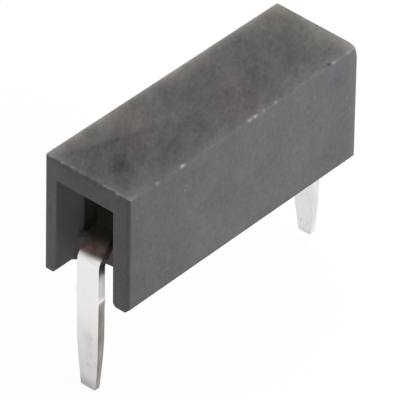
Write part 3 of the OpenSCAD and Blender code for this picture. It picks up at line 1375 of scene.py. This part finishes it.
@dataclass(frozen=True)
class StripMarks:
    """Wear of the strip and its painted shade, reflection and highlight, as strengths from 0 to 1.

    Places and distances are millimetres. low_span goes down from the board, brown_span and gloom_span up
    from the end of the lower bend, and deep_span and rear_span in from the front tail. The slants raise
    their ends on the right.
    """

    low_span: Span = (0.4, 1.8)
    handled: float = 0.15
    handled_low: float = 0.35
    front_dull_shade: float = 0.3
    rear_dull_shade: float = 0.14
    tip_l: float = 0.4
    tip_dull_shade: float = 0.7
    scuff_tarnish: float = 0.35
    right_start: float = -0.1
    brown_span: Span = (-0.08, 0.075)
    brown_slant: float = 0.03
    gloom_span: Span = (0.12, 0.42)
    gloom_slants: Span = (0.08, 0.04)
    deep_span: Span = (0.3, 0.8)
    rear_span: Span = (3.0, 5.0)
    alloy_and_shade: float = 0.5
    low_edge_shade: float = 0.4
    rear_alloy: float = 0.2
    nib_edge: float = 0.03
    nib_highlight: Band = Band(0.6, 0.0, 0.06)
    scuffs: tuple[Scuff, ...] = (
        Scuff(0.02, 1.35, 0.14, 0.14),
        Scuff(0.06, 1.60, 0.08, 0.12),
        Scuff(0.08, 1.90, 0.07, 0.07),
        Scuff(0.06, 2.25, 0.07, 0.07),
    )

    def scuffed(self, place: Vector) -> float:
        """How much the scuffs dull a point of the front tail, 0 away from them."""
        return sum(scuff.at(place) for scuff in self.scuffs) if place.y < 0.0 else 0.0


@dataclass
class StripContact:
    """The formed strip: a tail at each end, the web between them and two spring beams.

    Sizes are millimetres. The strip is modelled as its middle surface and then thickened.
    """

    low: Vector
    high: Vector
    strip_t: float = 0.22
    tail_w: float = 0.68
    tip_cut: float = 0.045
    tip_t: float = 0.14
    coin_start: float = 0.45
    front_tail: Tail = Tail(2.93, 2.0, 0.46, (0.0, 0.0))
    rear_tail: Tail = Tail(2.7, 2.3, 0.38, (0.02, 0.08))
    bend_r: float = 0.13
    ramp_l: float = 0.45
    ramp_angle: float = math.atan2(4.0, 3.0)
    nib_out: float = 0.025
    nib_h: float = 0.36
    nib_drop: float = 0.18
    web_z: float = 1.25
    web_l: float = 5.8
    web_w: float = 1.35
    box_inset: float = 0.85
    box_l: float = 1.3
    box_bend_r: float = 0.1
    box_play: float = 0.05
    beam_h: float = 0.96
    beam_tip_h: float = 0.7
    beam_reach: float = 2.4
    grip_gap: float = 0.45
    nose_r: float = 0.3
    flare_l: float = 0.55
    flare_angle: float = math.radians(25.0)
    barb_l: float = 0.4
    barb_h: float = 0.35
    socket_z: float = 2.11
    edge_r: float = 0.022
    edge_steps: int = 3
    sharp_degrees: float = 50.0
    marks: StripMarks = StripMarks()
    columns: int = 8
    tip_rows: int = 4
    tail_rows: int = 48
    bend_rows: int = 14
    ramp_rows: int = 8
    web_rows: int = 12
    box_rows: int = 4
    arm_rows: int = 8
    nose_rows: int = 10
    flare_rows: int = 3

    @property
    def tail_y(self) -> float:
        """Distance of a tail's middle surface from the middle of the part."""
        return self.high.y - self.strip_t / 2

    @property
    def mid_z(self) -> float:
        """Height of the web's middle surface."""
        return self.web_z + self.strip_t / 2

    @property
    def bend_mid_r(self) -> float:
        """Radius of the middle surface in the bends above a tail."""
        return self.bend_r + self.strip_t / 2

    @property
    def bend_z(self) -> float:
        """Height at which a tail starts to bend."""
        return self.web_z - self.bend_r - self.ramp_l * math.sin(self.ramp_angle)

    @property
    def root_y(self) -> float:
        """Place of the beams' roots, at the front of the box."""
        return self.web_l / 2 - self.box_inset - self.box_l

    @property
    def wall_x(self) -> float:
        """Distance of a box wall's middle surface from the middle of the part."""
        return self.web_w / 2 + self.box_bend_r + self.strip_t / 2

    @property
    def nose_mid_r(self) -> float:
        """Radius of the middle surface in a beam's nose."""
        return self.nose_r + self.strip_t / 2

    def build(self) -> bpy.types.Object:
        """Model the contact.

        Returns:
            The finished object.
        """
        bm = bmesh.new()
        self._ribbon(bm)
        for side in Side:
            self._box_wall(bm, side)
            self._beam(bm, side)
        bmesh.ops.recalc_face_normals(bm, faces=bm.faces)
        self._paint(bm)
        strip = object_from(bm, "contact_strip")
        self._thicken(strip)
        bm = bmesh.new()
        bm.from_mesh(strip.data)
        self._break_edges(bm)
        for side in Side:
            self._barb(bm, side)
        self._form_tails(bm)
        bm.to_mesh(strip.data)
        bm.free()
        shade_smooth_by_angle(strip, self.sharp_degrees)
        to_metres(strip)
        return strip

    def _tail_half_width(self, tail: Tail, drop: float) -> float:
        """Half the width of a tail.

        Args:
            tail: The tail.
            drop: Distance below the board.

        Returns:
            Half the width there, with the taper and the nibs.
        """
        inset = (self.tail_w - tail.tip_w) / 2
        radius = (tail.taper_l ** 2 + inset ** 2) / (2 * inset)
        into_taper = max(0.0, drop - tail.length + tail.taper_l)
        narrowed = radius - math.sqrt(radius ** 2 - into_taper ** 2)
        nib = max(0.0, 1.0 - abs(drop - self.nib_drop) / (self.nib_h / 2))
        return self.tail_w / 2 - narrowed + self.nib_out * nib

    def _stations(self) -> list[Station]:
        """Cross lines of the strip from the tip of the front tail to the tip of the rear tail.

        Returns:
            The stations in order.
        """
        half_l = self.web_l / 2
        shoulder_l = (self.web_w - self.tail_w) / 2
        shoulder = [Station(-half_l - shoulder_l, self.mid_z, self.tail_w / 2)]
        front = self._tail(self.front_tail) + self._rise() + shoulder
        turned = self._tail(self.rear_tail) + self._rise() + shoulder
        rear = [Station(-s.y, s.z, s.half_w) for s in reversed(turned)]
        open_l = self.root_y + half_l
        web_ys = [-half_l + open_l * i / self.web_rows for i in range(self.web_rows)]
        web_ys += [self.root_y + self.box_l * i / self.box_rows for i in range(self.box_rows + 1)]
        web_ys.append(half_l)
        web = [Station(y, self.mid_z, self.web_w / 2) for y in web_ys]
        return front + web + rear

    def _tail(self, tail: Tail) -> list[Station]:
        """Cross lines of a tail from its tip to the lower bend.

        Args:
            tail: The tail.

        Returns:
            The stations in order, at the place of the front tail.
        """
        stations = []
        for row in range(self.tip_rows):
            turn = math.pi / 2 * row / self.tip_rows
            drop = tail.length - self.tip_cut * (1.0 - math.cos(turn))
            half_w = self._tail_half_width(tail, drop) - self.tip_cut * (1.0 - math.sin(turn))
            stations.append(Station(-self.tail_y, -drop, half_w))
        pitch = (self.bend_z + tail.length) / self.tail_rows
        for drop in [tail.length - pitch * i for i in range(1, self.tail_rows)]:
            stations.append(Station(-self.tail_y, -drop, self._tail_half_width(tail, drop)))
        return stations

    def _rise(self) -> list[Station]:
        """Cross lines of the two bends and the ramp between a tail and the web.

        Returns:
            The stations in order, for the front tail.
        """
        lean = math.pi / 2 - self.ramp_angle
        lower = [(lean * row / self.bend_rows, 0.0) for row in range(self.bend_rows)]
        ramp = [(lean, self.ramp_l * row / self.ramp_rows) for row in range(self.ramp_rows)]
        turned = self.ramp_angle / self.bend_rows
        upper = [(lean + turned * row, self.ramp_l) for row in range(self.bend_rows + 1)]
        rise = []
        for turn, along in lower + ramp + upper:
            y = self.bend_mid_r * (1.0 - math.cos(turn)) + along * math.cos(self.ramp_angle) - self.tail_y
            z = self.bend_z + self.bend_mid_r * math.sin(turn) + along * math.sin(self.ramp_angle)
            rise.append(Station(y, z, self.tail_w / 2))
        return rise

    def _ribbon(self, bm: bmesh.types.BMesh) -> None:
        """Bend a flat grid into the tails and the web.

        Args:
            bm: Mesh that takes the sheet.
        """
        stations = self._stations()
        last = len(stations) - 1
        bmesh.ops.create_grid(bm, x_segments=self.columns, y_segments=last, size=1.0)
        for vert in bm.verts:
            row = round((vert.co.y + 1.0) / 2.0 * last)
            station = stations[row]
            vert.co = Vector((vert.co.x * station.half_w, station.y, station.z))

    def _box_wall(self, bm: bmesh.types.BMesh, side: Side) -> None:
        """Turn one side of the web up into a wall of the box.

        Args:
            bm: Mesh of the sheet.
            side: Side of the wall.
        """
        edge_x = side.value * self.web_w / 2
        low_y, high_y = self.root_y - SAME_PLACE, self.root_y + self.box_l + SAME_PLACE
        rim = [e for e in bm.edges if e.is_boundary and all(
            abs(v.co.x - edge_x) < SAME_PLACE and low_y < v.co.y < high_y for v in e.verts)]
        centre = (edge_x, 0.0, self.mid_z + self.wall_x - self.web_w / 2)
        turned = bmesh.ops.spin(bm, geom=rim, cent=centre, axis=(0.0, -side.value, 0.0), angle=math.pi / 2,
                                steps=self.bend_rows // 2, use_merge=False)["geom_last"]
        edges = [g for g in turned if isinstance(g, bmesh.types.BMEdge)]
        foot = self.socket_z - self.beam_h / 2
        heights = [foot + self.beam_h * i / self.box_rows for i in range(self.box_rows + 1)]
        for height in heights:
            edges, verts = self._grow(bm, edges)
            for vert in verts:
                vert.co.z = height

    @staticmethod
    def _grow(bm: bmesh.types.BMesh, edges: list[bmesh.types.BMEdge]
              ) -> tuple[list[bmesh.types.BMEdge], list[bmesh.types.BMVert]]:
        """Extrude a chain of edges by one row of faces.

        Args:
            bm: Mesh of the sheet.
            edges: Edges of the free side.

        Returns:
            The edges and the vertices of the new free side, still on the old one.
        """
        grown = bmesh.ops.extrude_edge_only(bm, edges=edges)["geom"]
        verts = [g for g in grown if isinstance(g, bmesh.types.BMVert)]
        fresh = set(verts)
        return [g for g in grown if isinstance(g, bmesh.types.BMEdge) and set(g.verts) <= fresh], verts

    def _beam_path(self) -> list[Point]:
        """Middle line of the right beam seen from above, from its root to its tip.

        Returns:
            Points as (x, y), without the root itself.
        """
        root = Vector((self.wall_x, self.root_y))
        nose = Vector((self.grip_gap / 2 + self.strip_t + self.nose_r, self.root_y - self.beam_reach))
        reach = (root - nose).length
        lean = math.atan2(root.x - nose.x, self.beam_reach) + math.asin(self.nose_mid_r / reach)
        sweep = lean + self.flare_angle
        arc = []
        for row in range(self.nose_rows + 1):
            turn = math.pi - lean + sweep * row / self.nose_rows
            arc.append(nose + self.nose_mid_r * Vector((math.cos(turn), math.sin(turn))))
        arm = [root.lerp(arc[0], row / self.arm_rows) for row in range(1, self.arm_rows)]
        out = Vector((math.sin(self.flare_angle), -math.cos(self.flare_angle))) * self.flare_l
        flare = [arc[-1] + out * row / self.flare_rows for row in range(1, self.flare_rows + 1)]
        return [(p.x, p.y) for p in arm + arc + flare]

    def _beam(self, bm: bmesh.types.BMesh, side: Side) -> None:
        """Draw one spring beam out of the front edge of its box wall.

        Args:
            bm: Mesh of the sheet.
            side: Side of the beam.
        """
        root_x = side.value * self.wall_x
        foot = self.socket_z - self.beam_h / 2 - SAME_PLACE
        edges = [e for e in bm.edges if e.is_boundary and all(
            abs(v.co.x - root_x) < SAME_PLACE and abs(v.co.y - self.root_y) < SAME_PLACE
            and v.co.z > foot for v in e.verts)]
        path = self._beam_path()
        tip_y = path[-1][1]
        about_socket = Matrix.Translation((0.0, 0.0, -self.socket_z))
        height = self.beam_h
        for x, y in path:
            edges, verts = self._grow(bm, edges)
            along = (self.root_y - y) / (self.root_y - tip_y)
            wanted = self.beam_h + (self.beam_tip_h - self.beam_h) * along
            bmesh.ops.scale(bm, vec=(1.0, 1.0, wanted / height), verts=verts, space=about_socket)
            height = wanted
            for vert in verts:
                vert.co.xy = (side.value * x, y)

    def _paint(self, bm: bmesh.types.BMesh) -> None:
        """Mark where the plating is handled or dull and where the shear has bared the alloy, and paint the
        shade, reflection and highlight that the finishes read.

        Args:
            bm: Mesh of the sheet.
        """
        names = ("handled", "dull_and_shade", "brown_reflection", "gloom", "deep", "alloy_and_shade")
        layers = {name: bm.verts.layers.float.new(name) for name in names}
        for vert in bm.verts:
            wear = {**self._wear_at(vert.co), **self._reflection_and_shade_at(vert.co)}
            for name, layer in layers.items():
                vert[layer] = wear[name]

    def _wear_at(self, place: Vector) -> dict[str, float]:
        """How handled and dull the plating is, and how far the shear has bared the alloy, with painted shade
        low on the tails and on the front cut edges and a painted highlight along the nib.

        Args:
            place: A point of the sheet.

        Returns:
            The strengths by the names of their attributes.
        """
        marks, drop, on_front = self.marks, -place.z, place.y < 0.0
        lower = smoothstep(*marks.low_span, drop)
        scuffed = marks.scuffed(place)
        tip = smoothstep(self.front_tail.length - marks.tip_l, self.front_tail.length, drop)
        # Painted shade: the lower tails and the tips are dulled and darkened, the front tail more than the
        # rear.
        dull_and_shade = (marks.front_dull_shade if on_front else marks.rear_dull_shade) * lower
        below_nib = smoothstep(self.nib_drop - marks.nib_edge, self.nib_drop + marks.nib_edge, drop)
        # Painted shade below the nib on the front tail's cut edges and a painted highlight along the nib.
        alloy_and_shade = marks.alloy_and_shade + marks.low_edge_shade * below_nib - marks.nib_highlight.at(drop - self.nib_drop)
        return {
            "handled": marks.handled + marks.handled_low * lower + scuffed,
            "dull_and_shade": dull_and_shade + marks.tip_dull_shade * tip + marks.scuff_tarnish * scuffed,
            "alloy_and_shade": alloy_and_shade if on_front else marks.rear_alloy,
        }

    def _reflection_and_shade_at(self, place: Vector) -> dict[str, float]:
        """Painted brown reflection on the ramp above the tin, and painted shade in the cavity.

        Args:
            place: A point of the sheet.

        Returns:
            The strengths by the names of their attributes.
        """
        marks = self.marks
        above_bend = place.z - self.bend_z - self.bend_mid_r * math.cos(self.ramp_angle)
        inward = place.y + self.tail_y
        right = smoothstep(marks.right_start, self.tail_w / 2, place.x)
        gloom_low = marks.gloom_span[0] + marks.gloom_slants[0] * right
        gloom_high = marks.gloom_span[1] + marks.gloom_slants[1] * right
        to_rear = smoothstep(*marks.rear_span, inward)
        # Painted shade: dark in the cavity, fading out towards the rear; the deepest parts take a shade
        # colour.
        gloom = smoothstep(gloom_low, gloom_high, above_bend) * (1.0 - to_rear)
        # Painted reflection: brown from the end of the lower bend up, where the ramp mirrors the dark roof.
        return {
            "brown_reflection": smoothstep(*marks.brown_span, above_bend - marks.brown_slant * right),
            "gloom": gloom,
            "deep": gloom * smoothstep(*marks.deep_span, inward),
        }

    def _thicken(self, strip: bpy.types.Object) -> None:
        """Give the sheet the thickness of the strip, with its cut edges in the second slot.

        Args:
            strip: The sheet, which is changed.
        """
        for _ in range(2):
            strip.data.materials.append(None)
        solidify = strip.modifiers.new("strip", "SOLIDIFY")
        solidify.thickness = self.strip_t
        solidify.offset = 0.0
        solidify.use_even_offset = True
        solidify.material_offset_rim = 1
        apply_modifiers(strip)

    def _break_edges(self, bm: bmesh.types.BMesh) -> None:
        """Round the edges of the strip as blanking and plating leave them.

        Args:
            bm: Mesh of the thick strip.
        """
        sharp_angle = math.radians(self.sharp_degrees)
        sharp = [e for e in bm.edges if e.is_manifold and e.calc_face_angle() > sharp_angle]
        bmesh.ops.bevel(bm, geom=sharp, offset=self.edge_r, offset_type="OFFSET",
                        segments=self.edge_steps, profile=0.5, affect="EDGES", clamp_overlap=True,
                        material=-1)

    def _barb(self, bm: bmesh.types.BMesh, side: Side) -> None:
        """Raise the barb on the outer face of one box wall.

        Args:
            bm: Mesh of the thick strip.
            side: Side of the wall.
        """
        face_x = side.value * (self.wall_x + self.strip_t / 2)
        start_y = self.root_y + (self.box_l - self.barb_l) / 2
        low_z = self.socket_z - self.barb_h / 2
        planes = [(Axis.Y, start_y), (Axis.Y, start_y + self.barb_l),
                  (Axis.Z, low_z), (Axis.Z, low_z + self.barb_h)]
        for axis, place in planes:
            faces = self._faces_at(bm, face_x)
            geom = {*faces, *(e for f in faces for e in f.edges), *(v for f in faces for v in f.verts)}
            bmesh.ops.bisect_plane(bm, geom=list(geom), dist=SAME_CUT, plane_co=axis.unit() * place,
                                   plane_no=axis.unit())
        inside = []
        for face in self._faces_at(bm, face_x):
            centre = face.calc_center_median()
            along, up = centre.y - start_y, centre.z - low_z
            if 0.0 < along < self.barb_l and 0.0 < up < self.barb_h:
                inside.append(face)
        raised = bmesh.ops.extrude_face_region(bm, geom=inside)["geom"]
        bmesh.ops.delete(bm, geom=inside, context="FACES")
        for vert in (g for g in raised if isinstance(g, bmesh.types.BMVert)):
            vert.co.x += side.value * self.box_play * (vert.co.y - start_y) / self.barb_l
        bmesh.ops.remove_doubles(bm, verts=bm.verts, dist=SAME_CUT)

    def _form_tails(self, bm: bmesh.types.BMesh) -> None:
        """Coin the tips of the tails thinner and lean the tails a little.

        Args:
            bm: Mesh of the thick strip.
        """
        for vert in bm.verts:
            if vert.co.z > 0.0:
                continue
            tail = self.front_tail if vert.co.y < 0.0 else self.rear_tail
            share = -vert.co.z / tail.length
            middle_y = math.copysign(self.tail_y, vert.co.y)
            thin = 1.0 - (1.0 - self.tip_t / self.strip_t) * smoothstep(self.coin_start, 1.0, share)
            vert.co.y = middle_y + (vert.co.y - middle_y) * thin
            vert.co.xy += Vector(tail.lean) * share

    @staticmethod
    def _faces_at(bm: bmesh.types.BMesh, x: float) -> list[bmesh.types.BMFace]:
        """Faces that lie in the plane at a distance from the middle of the part."""
        return [f for f in bm.faces if all(abs(v.co.x - x) < SAME_PLACE for v in f.verts)]

    def dress(self, strip: bpy.types.Object, plate: TinPlate, sheared: ShearedEdge) -> None:
        """Give the contact its finishes and let it stand for the CAD node.

        Args:
            strip: The finished object.
            plate: Finish of the rolled faces.
            sheared: Finish of the cut edges.
        """
        strip.data.materials[0] = plate.build()
        strip.data.materials[1] = sheared.build()
        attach(strip, BODY)
        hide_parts("contact")


@dataclass(frozen=True)
class Softbox:
    """A soft round lamp that faces the part; level is the light on a facing surface, 1 for full white."""

    name: str
    azimuth: float
    elevation: float
    level: float
    tint: Colour = (1.0, 1.0, 1.0)
    distance_mm: float = 90.0
    width_mm: float = 70.0

    def build(self, aim: Vector) -> None:
        """Hang the lamp.

        Args:
            aim: Point that it faces, in metres.
        """
        a, e = math.radians(self.azimuth), math.radians(self.elevation)
        back = Vector((math.sin(a) * math.cos(e), -math.cos(a) * math.cos(e), math.sin(e)))
        lamp = bpy.data.lights.new(self.name, "AREA")
        lamp.shape = "DISK"
        lamp.size = self.width_mm * MM
        lamp.color = self.tint
        lamp.energy = self.level * (math.pi * self.distance_mm * MM) ** 2
        obj = bpy.data.objects.new(self.name, lamp)
        obj.location = aim + back * self.distance_mm * MM
        obj.rotation_euler = back.to_track_quat("Z", "Y").to_euler()
        obj.visible_camera = False
        bpy.context.scene.collection.objects.link(obj)


@dataclass
class Studio:
    """Pale floor under the tips of the tails, white surroundings and soft lamps."""

    floor_z_mm: float
    floor_mm: float = 240.0
    fill: float = 0.45
    lamps: tuple[Softbox, ...] = (
        Softbox("side_softbox", 105.0, 35.0, 0.75, (0.97, 0.985, 1.0)),
        Softbox("overhead_softbox", 200.0, 70.0, 0.45, (1.0, 0.985, 0.96)),
    )

    def build(self) -> None:
        """Lay the floor, colour the surroundings and hang the lamps."""
        self._floor()
        self._surroundings()
        for lamp in self.lamps:
            lamp.build(Vector((0.0, 0.0, 0.0)))

    def _floor(self) -> None:
        """Lay the floor."""
        bm = bmesh.new()
        bmesh.ops.create_grid(bm, x_segments=4, y_segments=4, size=self.floor_mm / 2)
        bmesh.ops.translate(bm, vec=(0.0, 0.0, self.floor_z_mm), verts=bm.verts)
        floor = object_from(bm, "floor")
        to_metres(floor)
        floor.data.materials.append(PaleFloor().build())

    def _surroundings(self) -> None:
        """White where the camera or a reflection looks, and a weaker fill light."""
        world = bpy.data.worlds.new("surroundings")
        world.use_nodes = True
        nodes, links = world.node_tree.nodes, world.node_tree.links
        nodes.clear()
        rays = nodes.new("ShaderNodeLightPath").outputs
        background = nodes.new("ShaderNodeBackground")
        background.inputs["Color"].default_value = (1.0, 1.0, 1.0, 1.0)
        level: Number = self.fill
        for kind in ("Is Camera Ray", "Is Glossy Ray", "Is Transmission Ray"):
            brighter = nodes.new("ShaderNodeMath")
            brighter.operation = "MAXIMUM"
            links.new(rays[kind], brighter.inputs[0])
            if isinstance(level, float):
                brighter.inputs[1].default_value = level
            else:
                links.new(level, brighter.inputs[1])
            level = brighter.outputs[0]
        links.new(level, background.inputs["Strength"])
        output = nodes.new("ShaderNodeOutputWorld")
        links.new(background.outputs[0], output.inputs["Surface"])
        bpy.context.scene.world = world


@dataclass(frozen=True)
class PhotoCamera:
    """Camera at the photograph's viewing angle; angles in degrees, places in millimetres.

    The clip distances are metres.
    """

    azimuth: float = 41.1311
    elevation: float = 37.9188
    roll: float = 1.0533
    distance_mm: float = 211.7
    aim_mm: Triple = (0.37158, -0.41833, 0.88014)
    lens: float = 810.0
    sensor: float = 36.0
    clip_start: float = 0.01
    clip_end: float = 1.0

    def build(self) -> None:
        """Set up the camera and make it the scene's own."""
        a, e, r = (math.radians(x) for x in (self.azimuth, self.elevation, self.roll))
        back = Vector((math.sin(a) * math.cos(e), -math.cos(a) * math.cos(e), math.sin(e)))
        right = Vector((math.cos(a), math.sin(a), 0.0))
        up = back.cross(right)
        across = right * math.cos(r) + up * math.sin(r)
        upward = up * math.cos(r) - right * math.sin(r)
        lens = bpy.data.cameras.new("photo_camera")
        lens.lens = self.lens
        lens.sensor_width = self.sensor
        lens.clip_start = self.clip_start
        lens.clip_end = self.clip_end
        camera = bpy.data.objects.new("photo_camera", lens)
        place = (Vector(self.aim_mm) + back * self.distance_mm) * MM
        turn = Matrix((across, upward, back)).transposed().to_4x4()
        camera.matrix_world = Matrix.Translation(place) @ turn
        bpy.context.scene.collection.objects.link(camera)
        bpy.context.scene.camera = camera


def report_piece(piece: bpy.types.Object) -> None:
    """Log a finished piece.

    Args:
        piece: The piece.
    """
    triangles = sum(len(p.vertices) - 2 for p in piece.data.polygons)
    log.info("%s: %d triangles", piece.name, triangles)


def main() -> None:
    """Build and dress the pieces, then the camera and the studio."""
    logging.basicConfig(level=logging.INFO, format="%(name)s: %(message)s")
    bpy.context.scene.view_settings.view_transform = "Standard"

    housing = Housing(*box_mm("housing"))
    shell = housing.build()
    housing.dress(shell, MouldedPlastic())
    report_piece(shell)

    contact = StripContact(*box_mm("contact"))
    strip = contact.build()
    contact.dress(strip, TinPlate(), ShearedEdge())
    report_piece(strip)

    PhotoCamera().build()
    Studio(floor_z_mm=contact.low.z).build()


if __name__ == "__main__":
    main()
